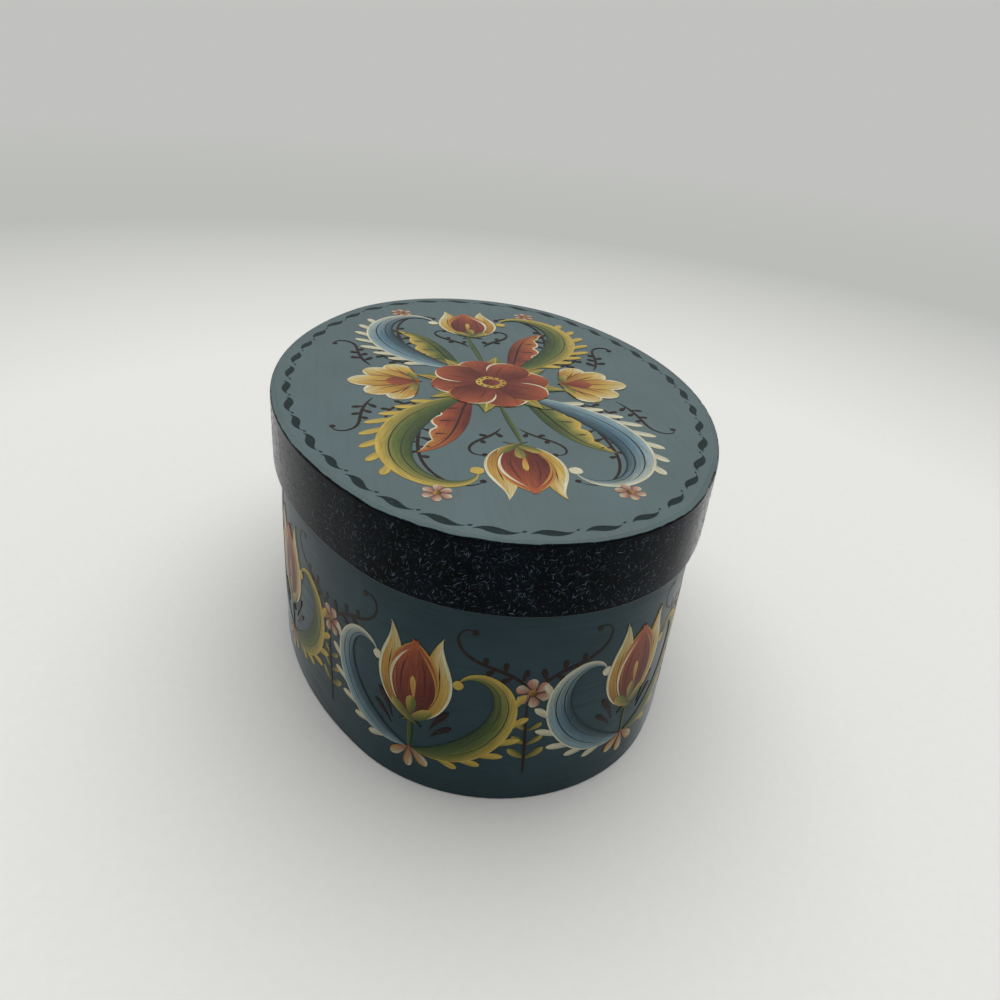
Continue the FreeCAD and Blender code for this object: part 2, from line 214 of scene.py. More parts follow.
def upper_side(tree, low, high, waver=None):
    """1 where a face looks up by more than high, 0 by less than low; waver makes that line uneven."""
    normal = add(tree, "ShaderNodeNewGeometry").outputs["Normal"]
    upward = add(tree, "ShaderNodeSeparateXYZ", {0: normal}).outputs["Z"]
    if waver:
        uneven = add(tree, "ShaderNodeMapRange", {0: waver, 1: 0.45, 2: 0.75, 4: 0.3})
        upward = add(tree, "ShaderNodeMath", {0: upward, 1: uneven}, operation="ADD")
    return add(tree, "ShaderNodeMapRange", {0: upward, 1: low, 2: high})


# The same oil paint over planed birch: satin and even, with long straight brush marks
lid_paint, tree, shader, place = new_material("teal_oil_paint_lid")
top = upper_side(tree, 0.3, 0.5)
paint, gloss, relief = teal_paint(tree, place, LID_BRUSH, "#465b5d", "#4b6163", "#405457")
wood, _ = bare_birch(tree, place, BOARD_GRAIN)
tone = add(tree, "ShaderNodeMix", {0: top, 6: wood, 7: paint}, data_type="RGBA").outputs[2]
relief = add(tree, "ShaderNodeBump", {"Height": relief, "Distance": 0.025 * MM})
feed(shader, {"Base Color": tone, "Roughness": gloss, "IOR": 1.5, "Normal": relief})
dress("lid_board", lid_paint)


# Lid band
# A bent strip with scarfed ends, painted near-black and flecked all over with short pale marks.
# The lid's teal runs over its upper face, painted there in a lighter teal as a painted highlight where the
# edge catches light, and the dark coat starts at the eased edge.
EDGE_ON_SHEEN = 0.8
EDGE_ON_SPREAD = 0.27

# Thin black oil paint: almost no gloss seen square on, and a dusty grey sheen seen edge on
band_paint, tree, shader, place = new_material("flecked_black_paint")
top = upper_side(tree, 0.95, 0.99, mottle(tree, place, (7.0, 7.0, 7.0), 3.0))
outside = outer_side(tree, place)
inward = add(tree, "ShaderNodeMath", {0: 1.0, 1: outside}, operation="SUBTRACT")
teal_share = add(tree, "ShaderNodeMath", {0: top, 1: inward}, operation="MAXIMUM")
coated = {0: outside, 1: upper_side(tree, 0.3, 0.5)}
coated = add(tree, "ShaderNodeMath", coated, operation="MAXIMUM")
# The faintest flecks are thin level lines of one noise, broken up by a second one
FAINT_MARK = 1.3
shift = (0.37, 0.37 * 0.7, 0.37 * 0.4)
spots = add(tree, "ShaderNodeVectorMath", {0: place, 1: shift}, operation="ADD")
lines = mottle(tree, spots, [FAINT_MARK] * 3, 1.5)
off_level = add(tree, "ShaderNodeMath", {0: lines, 1: 0.5}, operation="SUBTRACT")
distance = add(tree, "ShaderNodeMath", {0: off_level}, operation="ABSOLUTE")
thin = add(tree, "ShaderNodeMapRange", {0: distance, 1: 0.015, 2: 0.03, 3: 1.0, 4: 0.0})
breaks = mottle(tree, spots, [FAINT_MARK * 0.45] * 3, 1.0)
kept = add(tree, "ShaderNodeMapRange", {0: breaks, 1: 0.5, 2: 0.55})
faint = add(tree, "ShaderNodeMath", {0: thin, 1: kept}, operation="MULTIPLY")
dim = add(tree, "ShaderNodeMath", {0: faint, 1: 0.55}, operation="MULTIPLY")
patches = mottle(tree, place, (9.0, 9.0, 7.0), 2.0)
ground = coats(tree, colour("#05070b"), (colour("#0b1118"), patches, 0.35, 0.65, 1.0))
flecked = {0: dim, 6: ground, 7: colour("#34454d")}
flecked = add(tree, "ShaderNodeMix", flecked, data_type="RGBA").outputs[2]
# The upper face's teal is lighter than the lid board's: a painted highlight for the light that its edge
# catches
teal, _, _ = teal_paint(tree, place, LID_BRUSH, "#5a696a", "#5f6f70", "#546466")
wood, _ = bare_birch(tree, place, STRIP_GRAIN)
paint = add(tree, "ShaderNodeMix", {0: teal_share, 6: flecked, 7: teal}, data_type="RGBA").outputs[2]
tone = add(tree, "ShaderNodeMix", {0: coated, 6: wood, 7: paint}, data_type="RGBA").outputs[2]
feed(shader, {
    "Base Color": tone,
    "Roughness": 0.42,
    "IOR": 1.45,
    "Specular IOR Level": 0.03,
    "Sheen Weight": EDGE_ON_SHEEN,
    "Sheen Roughness": EDGE_ON_SPREAD,
    "Normal": add(tree, "ShaderNodeBump", {"Height": patches, "Distance": 0.05 * MM}),
})
dress("lid_band", band_paint)


# Lid pegs
# Small birch pegs, driven through the lid band into the lid board's edge and cut flush.
# Their heads were painted over with the band.
dress("lid_pegs", band_paint)


# Painted border of the lid
# Dark teal oil paint in S-shaped leaves, with a tick between each two, brushed freehand in a ring
# about 6 mm inside the lid's edge. Each stroke is a thin film of its own that lies on the lid.
# Millimetres: a film's foot just inside the surface and its lowest top, half the finest brush tip,
# one step along a stroke, and how far the streaks move from one stroke to the next
FILM_FOOT = -0.1
FILM_BASE = 0.02
BRUSH_TIP = 0.04
GRID_STEP = 0.9
STREAK_SHIFT = 3.7
MOST_STEPS = 72
FULL_SHEET = 2000


def mixed(stops, share):
    """The value at a share of the way along evenly spaced stops."""
    spot = min(max(share, 0.0), 1.0) * (len(stops) - 1)
    low = min(int(spot), max(len(stops) - 2, 0))
    high = min(low + 1, len(stops) - 1)
    return stops[low].lerp(stops[high], spot - low)


def swing(start, heading, length, bends, points=48):
    """A brush path from start: it sets off along heading and turns at the rates in bends, in degrees."""
    path = [Vector(start)]
    rates = [Vector((bend, 0.0)) for bend in bends]
    angle = math.radians(heading)
    for step in range(points):
        angle += math.radians(mixed(rates, (step + 0.5) / points).x) / points
        path.append(path[-1] + Vector((math.cos(angle), math.sin(angle))) * length / points)
    return path


def lefts(path):
    """The direction to the left of a path at each of its points."""
    ends = zip(path[:1] + path[:-1], path[1:] + path[-1:])
    return [(after - before).normalized().orthogonal() for before, after in ends]


def half_width(u, width, shape, lobes=None):
    """A stroke's reach to one side at share u: shape holds its widest place and how its ends close."""
    peak, root, tip = shape
    share, power = (u / peak, root) if u < peak else ((1 - u) / (1 - peak), tip)
    half = width * max(math.sin(math.pi / 2 * share), 0.0) ** power
    if lobes:
        count, depth = lobes
        half *= 1 - depth * (1 - abs(math.sin(math.pi * count * u)) ** 0.6)
    return max(half, BRUSH_TIP)


def rim(path, width, shape, start=0.0, end=1.0, lobes=None, points=40):
    """The edge of a stroke as a path of its own, on its left, or on its right where width is negative."""
    sides = lefts(path)
    way = math.copysign(1.0, width)
    edge = []
    for i in range(points + 1):
        u = start + (end - start) * i / points
        edge.append(mixed(path, u) + mixed(sides, u) * way * half_width(u, abs(width), shape, lobes))
    return edge


def into_scene(name, shape, material):
    """Turns a bmesh into an object of one material."""
    sheet = bpy.data.meshes.new(name)
    shape.to_mesh(sheet)
    shape.free()
    sheet.materials.append(material)
    piece = bpy.data.objects.new(name, sheet)
    bpy.context.scene.collection.objects.link(piece)
    return piece


class Film:
    """Brush strokes on one surface, gathered flat in one mesh, each a step above the one before.

    After as many strokes as there are layers, the next one lies lowest again.
    """

    def __init__(self, step, layers=2000):
        self.step = step
        self.layers = layers
        self.strokes = 0
        self.whole = bmesh.new()
        self.fresh_sheet()
        self.at(0.0, 0.0)

    def fresh_sheet(self):
        """A small empty mesh for the next strokes, because operators slow down as a mesh grows."""
        self.mesh = bmesh.new()
        self.paint = self.mesh.verts.layers.float_color.new("paint")
        self.brush = self.mesh.verts.layers.float_vector.new("brush")

    def gather(self):
        """Adds the small mesh to the whole film."""
        sheet = bpy.data.meshes.new("strokes")
        self.mesh.to_mesh(sheet)
        self.mesh.free()
        self.whole.from_mesh(sheet)
        bpy.data.meshes.remove(sheet)

    def at(self, x, y, facing=0.0, size=1.0, hand=1):
        """Moves the brush: its own +X now points along facing, and a hand of -1 mirrors the strokes."""
        if len(self.mesh.verts) > FULL_SHEET:
            self.gather()
            self.fresh_sheet()
        turn = Matrix.Rotation(math.radians(facing), 4, "Z")
        scale = Matrix.Diagonal((size, hand * size, 1, 1))
        self.frame = Matrix.Translation((x, y, 0)) @ turn @ scale

    def stroke(self, path, left, right, shape, tones, lobes=None):
        """One stroke along a path; tones has rows of colours, root to tip, each from left to right."""
        sides = lefts(path)
        rows = [[Vector(colour(tone)) for tone in row] for row in tones]
        length = sum((after - before).length for before, after in zip(path, path[1:]))
        along = max(4, min(MOST_STEPS, round(length / GRID_STEP)), lobes[0] * 8 if lobes else 0)
        across = 1 if left + right < 1.0 else 2 if left + right < 2.0 else 6
        grid = bmesh.ops.create_grid(self.mesh, x_segments=along, y_segments=across, size=1.0)
        self.strokes += 1
        height = FILM_BASE + self.strokes % self.layers * self.step
        for vert in grid["verts"]:
            u = 0.5 - 0.5 * math.cos(math.pi * (vert.co.x + 1) / 2)
            v = (vert.co.y + 1) / 2
            aside = v * half_width(u, left, shape, lobes) - (1 - v) * half_width(u, right, shape)
            spot = mixed(path, u) + mixed(sides, u) * aside
            vert.co = self.frame @ Vector((spot.x, spot.y, height))
            vert[self.paint] = mixed([mixed(row, 1 - v) for row in rows], u)
            vert[self.brush] = (u * length, aside, self.strokes * STREAK_SHIFT)
        faces = {face for vert in grid["verts"] for face in vert.link_faces}
        foot = bmesh.ops.extrude_face_region(self.mesh, geom=list(faces), use_keep_orig=True)
        for item in foot["geom"]:
            if isinstance(item, bmesh.types.BMVert):
                item.co.z = FILM_FOOT

    def lay(self, name, settle, body, material):
        """Lays the strokes on their surface and makes them one piece that rides on a body."""
        self.gather()
        for vert in self.whole.verts:
            vert.co = settle(*vert.co) * MM
        bmesh.ops.recalc_face_normals(self.whole, faces=self.whole.faces)
        piece = into_scene(name, self.whole, material)
        piece.data.shade_smooth()
        piece.data.set_sharp_from_angle(angle=math.radians(40))
        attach(piece, body)


def oval(half_length, half_breadth, end_radius):
    """A four-arc oval: its perimeter, and a function from a length round it to a point and its normal."""
    run = half_length - end_radius
    rise = half_breadth - end_radius
    drop = (run**2 - rise**2) / (2 * rise)
    join = math.atan2(drop, run)
    side_radius = half_breadth + drop
    arcs = [
        ((run, 0), end_radius, -join, join),
        ((0, -drop), side_radius, join, math.pi - join),
        ((-run, 0), end_radius, math.pi - join, math.pi + join),
        ((0, drop), side_radius, math.pi + join, 2 * math.pi - join),
    ]
    perimeter = sum(radius * (end - start) for _, radius, start, end in arcs)

    def place(distance):
        rest = (distance + end_radius * join) % perimeter
        for centre, radius, start, end in arcs:
            if rest <= radius * (end - start):
                break
            rest -= radius * (end - start)
        normal = Vector((math.cos(start + rest / radius), math.sin(start + rest / radius)))
        return Vector(centre) + normal * radius, normal

    return perimeter, place


# Artists' oil colours, fine and buttery: satin, streaked along the brush, with slight ridges
HAIR_STREAK = (7.0, 0.45)
brushed_oil, tree, shader, place = new_material("brushed_oil_colours")
paint = add(tree, "ShaderNodeAttribute", attribute_name="paint").outputs["Color"]
brush = add(tree, "ShaderNodeAttribute", attribute_name="brush").outputs["Vector"]
streaks = {"Vector": brush, "Scale": (1 / HAIR_STREAK[0], 1 / HAIR_STREAK[1], 1.0)}
streaks = {"Vector": add(tree, "ShaderNodeMapping", streaks), "Scale": 1.0, "Detail": 2.0}
streaks = add(tree, "ShaderNodeTexNoise", streaks).outputs["Fac"]
thinned = {0: 1.0, 6: paint, 7: colour("#d8d6cf")}
thinned = add(tree, "ShaderNodeMix", thinned, data_type="RGBA", blend_type="MULTIPLY").outputs[2]
wear = mottle(tree, place, (1.2, 1.2, 1.2), 3.0)
full = (paint, streaks, 0.35, 0.65, 1.0)
feed(shader, {
    "Base Color": coats(tree, thinned, full, (colour("#51666a"), wear, 0.62, 0.75, 0.35)),
    "Roughness": add(tree, "ShaderNodeMapRange", {0: streaks, 1: 0.3, 2: 0.7, 3: 0.36, 4: 0.46}),
    "IOR": 1.5,
    "Specular IOR Level": 0.12,
    "Sheen Weight": 0.2,
    "Sheen Roughness": 0.25,
    "Normal": add(tree, "ShaderNodeBump", {"Height": streaks, "Distance": 0.03 * MM}),
})

low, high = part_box("lid_band")
LID_TOP = high[2] / MM
LID_HALF_LENGTH = high[0] / MM
LID_HALF_WIDTH = high[1] / MM
LID_END_RADIUS = 61.0
LID_FILM_STEP = 0.0008
BORDER_INSET = 6.3
BORDER_LEAVES = 38
BORDER_TEALS = ["#0e2827", "#091e20"]
LEAF_LENGTH = 12.2
LEAF_HALF = 1.4
TICK_LENGTH = 1.4
TICK_HALF = 0.36
border_round, border_place = oval(
    LID_HALF_LENGTH - BORDER_INSET,
    LID_HALF_WIDTH - BORDER_INSET,
    LID_END_RADIUS - BORDER_INSET,
)


def on_border(along, out, height):
    """A point of the border strip on the lid's top."""
    spot, normal = border_place(along)
    return (spot + normal * out).to_3d() + Vector((0, 0, LID_TOP + height))


hand = random.Random(7)
border = Film(LID_FILM_STEP)
pitch = border_round / BORDER_LEAVES
for leaf in range(BORDER_LEAVES):
    border.at(pitch * leaf, hand.uniform(-0.25, 0.25), hand.uniform(-10, -2), hand.uniform(0.92, 1.05))
    path = swing((-5.8, 0.8), -38, LEAF_LENGTH, (232, 0, -180))
    border.stroke(path, LEAF_HALF, LEAF_HALF, (0.46, 1.4, 1.6), [BORDER_TEALS])
    tick = swing((pitch * 0.5 - 0.7, 1.3), -14, TICK_LENGTH, (0, -40))
    border.stroke(tick, TICK_HALF, TICK_HALF, (0.4, 0.6, 1.0), [BORDER_TEALS])
border.lay("lid_border_leaves", on_border, "lid", brushed_oil)


# Flecks of the lid band
# Short dashes in grey teal and lilac, dabbed all over the dark coat with a nearly dry brush.
# Each is a thin film of oil paint that lies on the band's outer face, clear of its two rims.
FLECKS = 5200
FLECK_COLOURS = ("#3c4f58", "#4c5f69", "#586279", "#697088", "#2f424b", "#43564f", "#39404f")
FLECK_HALF = 0.1
FLECK_FILM_STEP = 0.0006
FLECK_LAYERS = 50
BARE_LOW_RIM = 1.4
BARE_HIGH_RIM = 1.6
CLEAR_OF_BAND = 0.2
band_low, band_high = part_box("lid_band")
band_round, band_place = oval(LID_HALF_LENGTH, LID_HALF_WIDTH, LID_END_RADIUS)
band_skin = BVHTree.FromObject(nodes["lid_band"], bpy.context.evaluated_depsgraph_get())


def on_band(along, up, height):
    """A point of the lid band's outer face, from a length round it and a height above the table."""
    spot, normal = band_place(along)
    outside = (spot + normal * CLEAR_OF_BAND).to_3d() + Vector((0, 0, up))
    return band_skin.find_nearest(outside * MM)[0] / MM + normal.to_3d() * height


# The same oils dabbed on nearly dry: seen edge on, they take the sheen of the dark coat
dabbed_oil = brushed_oil.copy()
dabbed_oil.name = "dabbed_oil_colours"
feed(dabbed_oil.node_tree.nodes["Principled BSDF"], {
    "Specular IOR Level": 0.06,
    "Sheen Weight": EDGE_ON_SHEEN,
    "Sheen Roughness": EDGE_ON_SPREAD,
})
hand = random.Random(11)
flecks = Film(FLECK_FILM_STEP, FLECK_LAYERS)
for fleck in range(FLECKS):
    up = hand.uniform(band_low[2] / MM + BARE_LOW_RIM, band_high[2] / MM - BARE_HIGH_RIM)
    flecks.at(hand.uniform(0, band_round), up, hand.gauss(60, 50), hand.uniform(0.6, 1.3))
    dash = swing((-0.6, 0.0), 0, hand.uniform(0.5, 1.6), (hand.uniform(-110, 110), 0), 4)
    flecks.stroke(dash, FLECK_HALF, FLECK_HALF, (0.4, 0.5, 0.8), [[hand.choice(FLECK_COLOURS)]])
flecks.lay("lid_band_flecks", on_band, "lid", dabbed_oil)


# Painted flowers of the lid
# A rosette in the middle, a C-scroll with a lobed leaf and a daisy in each quarter, a tulip at each
# end and a fan of petals at each side. They are brushed freehand in the usual muted oil colours of
# folk painting: rust, ochre, cream, olive, grey blue and umber.
RUST = "#8a4433"
DEEP_RUST = "#5f2a22"
ORANGE = "#b4603a"
OCHRE = "#bd8c43"
YELLOW = "#cdb057"
CREAM = "#dcd6b8"
OLIVE = "#5f6f3a"
DARK_GREEN = "#36472f"
BLUE = "#587a8c"
PALE_BLUE = "#93adb4"
DARK_TEAL = "#20363d"
UMBER = "#2b1d17"
PINK = "#b27a6c"
TAN = "#8a5a2c"
BURNT_OCHRE = "#9a6a35"
BROWN = "#6b4526"
BLUES = [[PALE_BLUE, DARK_TEAL], [PALE_BLUE, BLUE, DARK_TEAL], [CREAM, BLUE]]
GREENS = [[OLIVE, DARK_GREEN], [YELLOW, OLIVE, DARK_GREEN], [YELLOW, OLIVE]]
WARMS = [[RUST, DEEP_RUST], [ORANGE, RUST, DEEP_RUST], [OCHRE, ORANGE]]
SMALL_LEAF = [[OLIVE, YELLOW], [DARK_GREEN]]
STEM = [[OLIVE, DARK_GREEN]]
# A scroll's own tones, its pale outer edge and its dark inner lines
BLUE_SCROLL = (BLUES, CREAM, DARK_TEAL)
GREEN_SCROLL = (GREENS, YELLOW, DARK_GREEN)


def outline(film, path, width, shape, tone, start=0.1, end=1.0, thick=0.42):
    """A thin line along one edge of a stroke, fine at both ends."""
    edge = rim(path, width, shape, start, end)
    film.stroke(edge, thick, thick, (0.6, 0.8, 0.8), [[tone]])


def disc(film, spot, radius, tones):
    """A round touch of the brush."""
    path = [Vector(spot) + Vector((radius * (i / 4 - 1), 0.0)) for i in range(9)]
    film.stroke(path, radius, radius, (0.5, 0.62, 0.62), tones)


def comma(film, start, heading, length, bend, half, tones):
    """A comma stroke: a full round head that thins into a bent tail."""
    path = swing(start, heading, length, (bend, bend), 16)
    film.stroke(path, half, half, (0.24, 0.55, 1.5), tones)


def turned(reach, angle):
    """A point at a reach from the brush's place, in a direction in degrees."""
    spot = Vector((reach, 0.0))
    spot.rotate(Matrix.Rotation(math.radians(angle), 2))
    return spot


def rosette(film, petals=8, dots=12):
    """A round flower: pointed sepals, two rings of round petals and a dotted middle."""
    turn = 360 / petals
    for k in range(petals):
        path = swing((0.0, 0.0), turn * (k + 0.5), 25, (8, -8))
        film.stroke(path, 3.4, 3.4, (0.62, 1.0, 1.2), [[DARK_GREEN], [DARK_GREEN, OLIVE], [YELLOW, OLIVE]])
        film.stroke(path[20:], 0.3, 0.3, (0.5, 1, 1), [[YELLOW]])
    shape = (0.68, 1.1, 0.5)
    for k in list(range(0, petals, 2)) + list(range(1, petals, 2)):
        path = swing((0.0, 0.0), turn * k, 20, (6, -6))
        film.stroke(path, 7.4, 7.4, shape, [[DEEP_RUST, DEEP_RUST], [RUST, DEEP_RUST], [ORANGE, RUST]])
        outline(film, path, 7.4, shape, CREAM, 0.4, 0.99)
        outline(film, path, -7.4, shape, OCHRE, 0.62, 0.99, 0.3)
        for side in (-1, 1):
            vein = rim(path[8:], side * 3.2, (0.7, 1.0, 0.7), 0.1, 0.75)
            film.stroke(vein, 0.26, 0.26, (0.5, 1, 1), [[DEEP_RUST]])
    disc(film, (0, 0), 5.2, [[OCHRE, YELLOW]])
    disc(film, (0, 0), 3.1, [[RUST, DEEP_RUST]])
    for k in range(dots):
        disc(film, turned(4.2, 360 / dots * k), 0.5, [[UMBER]])


def scroll(film, length, bends, half, scroll_colours, fringe):
    """A C-scroll: a broad shaded sweep with a pale outer edge, dark inner lines and a comma fringe."""
    tones, edge, inner = scroll_colours
    path = swing((0.0, 0.0), 0, length, bends, 72)
    shape = (0.38, 0.8, 1.15)
    sides = lefts(path)
    for k in range(fringe):
        u = 0.2 + 0.5 * k / (fringe - 1)
        way = mixed(sides, u)
        root = mixed(path, u) + way * half * 0.2
        angle = math.degrees(math.atan2(way.y, way.x)) - 38
        reach = half * (2.2 - 0.9 * abs(2 * k / fringe - 0.8))
        comma(film, root + way * reach * 0.75, angle + 180, reach, -18, half * 0.2, [[edge], tones[-1]])
    film.stroke(path, half, half * 0.55, shape, tones)
    outline(film, path, half, shape, edge, 0.03, 0.97, 0.42)
    outline(film, path, half * 0.45, shape, inner, 0.12, 0.8, 0.3)
    outline(film, path, -half * 0.1, shape, inner, 0.2, 0.9, 0.26)
    outline(film, path, -half * 0.55, shape, inner, 0.02, 0.98, 0.34)
    disc(film, path[-1], half * 0.3, [[edge, tones[-1][0]]])


def tulip(film):
    """A tulip from its foot along +X: two flaring side petals, a round middle and a green calyx."""
    for way in (-1, 1):
        petal = swing((0.0, 0.0), way * 46, 30, (-way * 110, -way * 60, way * 150))
        shape = (0.42, 0.7, 1.3)
        left, right = (4.6, 3.2) if way > 0 else (3.2, 4.6)
        film.stroke(petal, left, right, shape, [[DEEP_RUST, OCHRE], [OCHRE, YELLOW], [YELLOW, CREAM]])
        outline(film, petal, way * 4.6, shape, CREAM, 0.1, 0.97)
        outline(film, petal, way * 1.6, shape, UMBER, 0.15, 0.7, 0.24)
    shape = (0.55, 0.8, 0.9)
    for way in (-1, 1):
        inner = swing((0.0, 0.0), way * 24, 26, (-way * 60, -way * 30))
        film.stroke(inner, 4.6, 4.6, shape, [[DEEP_RUST], [ORANGE, RUST], [ORANGE]])
        outline(film, inner, way * 4.6, shape, OCHRE, 0.2, 0.96, 0.34)
    middle = swing((0.0, 0.0), 0, 23, (0, 0))
    shape = (0.5, 0.7, 0.75)
    film.stroke(middle, 6.3, 6.3, shape, [[DEEP_RUST, DEEP_RUST], [RUST, DEEP_RUST], [ORANGE, RUST]])
    outline(film, middle, 6.3, shape, CREAM, 0.15, 0.95, 0.4)
    outline(film, middle, -6.3, shape, OCHRE, 0.4, 0.95, 0.3)
    outline(film, middle, 3.4, shape, DEEP_RUST, 0.2, 0.85, 0.28)
    outline(film, middle, -3.4, shape, DEEP_RUST, 0.2, 0.85, 0.28)
    comma(film, (14, 0), 180, 9, 14, 0.8, [[YELLOW], [ORANGE]])
    for way in (-1, 0, 1):
        start = (7.5 - abs(way) * 3.0, way * 5.5)
        comma(film, start, 180 + way * 42, 11 if way else 8, way * 22, 1.5, SMALL_LEAF)


def daisy(film, petals=6):
    """A small flower of comma petals with a dark eye."""
    for k in range(petals):
        angle = 360 / petals * k
        comma(film, turned(5.6, angle), angle + 180, 5.4, 12, 1.75, [[CREAM, PINK], [RUST]])
    disc(film, (0, 0), 1.5, [[OCHRE, UMBER]])


def tendril(film, length, bends, drops, half=0.55):
    """A thin umber tendril that curls to a dot, with drop leaves on both sides of its stem."""
    path = swing((0.0, 0.0), 0, length, bends, 64)
    film.stroke(path, half, half, (0.3, 0.7, 0.5), [[UMBER]])
    disc(film, path[-1], half * 1.9, [[UMBER]])
    sides = lefts(path)
    for k in range(drops):
        u = 0.12 + 0.42 * k / drops
        way = 1 if k % 2 else -1
        out = mixed(sides, u) * way
        angle = math.degrees(math.atan2(out.y, out.x)) - way * 38
        reach = length * (0.15 - 0.015 * k)
        tip = mixed(path, u) + turned(reach, angle)
        comma(film, tip, angle + 180, reach, way * 25, half * 1.7, [[UMBER]])


def palmette(film, petals=5, spread=122):
    """A fan of round petals from its foot along +X, ochre with cream tips, over a rust heart."""
    shape = (0.7, 1.1, 0.5)
    order = sorted(range(petals), key=lambda k: -abs(k - (petals - 1) / 2))
    for k in order:
        aim = spread * (k / (petals - 1) - 0.5)
        length = 22 - 5.5 * abs(aim) / (spread / 2)
        path = swing((0.0, 0.0), aim * 0.8, length, (aim * 0.1, aim * 0.9))
        film.stroke(path, 4.3, 4.3, shape, [[TAN], [OCHRE, BURNT_OCHRE], [YELLOW, OCHRE], [CREAM, YELLOW]])
        for way in (-1, 1):
            outline(film, path, way * 4.3, shape, BROWN, 0.1, 0.8, 0.24)
            outline(film, path, way * 4.1, shape, CREAM, 0.66, 0.99, 0.4)
        film.stroke(path[12:38], 0.3, 0.3, (0.4, 1, 1), [[BROWN]])
    comma(film, (10.5, 0), 180, 11, 0, 3.0, [[ORANGE, RUST], [DEEP_RUST]])
    for way in (-1, 1):
        comma(film, (3.0, way * 7.6), 180 + way * 66, 8.5, way * 30, 1.5, SMALL_LEAF)


def lobed_leaf(film, length, bends, half, tones, edge, lobes=5, depth=0.4):
    """A leaf whose outer edge is cut in lobes, each lined with a pale stroke, along an umber rib."""
    path = swing((0.0, 0.0), 0, length, bends, 72)
    shape = (0.45, 0.8, 1.0)
    film.stroke(path, half, half * 0.4, shape, tones, (lobes, depth))
    lining = rim(path, half - 0.2, shape, 0.02, 0.98, (lobes, depth), lobes * 14)
    film.stroke(lining, 0.36, 0.36, (0.5, 0.6, 0.6), [[edge]])
    film.stroke(path, 0.34, 0.34, (0.4, 0.7, 1.0), [[UMBER]])
    sides = lefts(path)
    for k in range(lobes):
        u = (k + 0.5) / lobes
        reach = half_width(u, half, shape) * 0.72
        way = mixed(sides, u)
        angle = math.degrees(math.atan2(way.y, way.x)) - 30
        comma(film, mixed(path, u) + way * reach, angle + 180, reach, 20, 0.45, [[UMBER]])


def on_lid(x, y, height):
    """A point of the lid's top."""
    return Vector((x, y, LID_TOP + height))


# The thin umber tendrils of a quarter: the place and facing of each, its length, bends and drops
TENDRILS = (
    (30, 26, 20, 56, (-60, -30, -80, -160, -700), 7),
    (16, 24, 74, 34, (-50, -100, -240, -800), 4),
    (38, 3, 24, 26, (120, 40, -200, -600), 3),
    (15, 42, 30, 34, (-60, -60, -20, 300, 900), 5),
)
flowers = Film(LID_FILM_STEP)
for end in (0, 180):
    for side in (1, -1):
        flowers.at(0, 0, end, 1, side)
        quarter = flowers.frame.copy()

        def go(x, y, facing, size=1.0):
            """Moves the brush within one quarter of the lid."""
            flowers.at(*(quarter @ Vector((x, y, 0))).xy, end + side * facing, size, side)

        for x, y, facing, length, bends, drops in TENDRILS:
            go(x, y, facing)
            tendril(flowers, length, bends, drops)
        # a C-scroll and the lobed leaf in its hollow
        leaf_tones, leaf_edge = (GREENS, YELLOW) if side > 0 else (WARMS, CREAM)
        go(10, 8, 26)
        lobed_leaf(flowers, 52, (-50, -10, 60, 200), 8.5, leaf_tones, leaf_edge)
        go(12, 9, 57, 0.9)
        scroll_colours = BLUE_SCROLL if side > 0 else GREEN_SCROLL
        scroll(flowers, 100, (-70, -80, -130, -260, -900), 8.2, scroll_colours, 8)
        go(79, 27, 10, 0.8)
        daisy(flowers)
    # the tulip at the end and the palmette at the side
    flowers.at(0, 0, end)
    flowers.stroke(swing((18, 0), 0, 33, (20, -20)), 0.9, 0.9, (0.5, 0.6, 0.6), STEM)
    go(50, 0, 0, 1.18)
    tulip(flowers)
    go(0, 25, 90, 1.15)
    palmette(flowers)
flowers.at(0, 0, 8, 1.08)
rosette(flowers)
flowers.lay("lid_flowers", on_lid, "lid", brushed_oil)


# Painted sprays of the wall
# Eight sprays stand round the wall, each a tulip held by a blue and a green C-scroll, with
# umber tendrils and a daisy between each two, in the same oil colours as the lid.
BAND_PROUD = 2.2
SPRAYS = 8
WALL_FILM_STEP = 0.004
wall_round, wall_place = oval(
    LID_HALF_LENGTH - BAND_PROUD,
    LID_HALF_WIDTH - BAND_PROUD,
    LID_END_RADIUS - BAND_PROUD,
)


def on_wall(along, up, height):
    """A point of the wall's outer face, from a length round it and a height above its foot."""
    spot, normal = wall_place(along)
    return (spot + normal * height).to_3d() + Vector((0, 0, up))


def spray(film, middle, foot, lean, size):
    """One spray, standing up from its foot: two scrolls, three drops and a tulip on its stem."""
    for side in (1, -1):
        film.at(middle - side * size, foot + 1, 90 + side * 82 + lean, size * 0.66, side)
        scroll_colours = BLUE_SCROLL if side > 0 else GREEN_SCROLL
        scroll(film, 88, (-90, -100, -150, -300, -760), 8.4, scroll_colours, 6)
        film.at(middle - side * 5 * size, foot + 12 * size, 90 + side * 18 + lean, size, side)
        comma(film, (9, 4), 205, 11, -24, 1.0, [[UMBER]])
        comma(film, (4, 7), 222, 9, -24, 0.8, [[UMBER]])
    film.at(middle, foot, 90 + lean, size)
    film.stroke(swing((0, 0), 0, 16, (10, -10)), 0.8, 0.8, (0.5, 0.6, 0.6), STEM)
    for aim in (-52, 0, 52):
        start = (-7 + abs(aim) * 0.05, -aim * 0.12)
        comma(film, start, aim * 0.9, 9, 0, 1.6, [[OCHRE, CREAM], [RUST]])
    film.at(middle, foot + 13 * size, 90 + lean, size * 1.16)
    tulip(film)


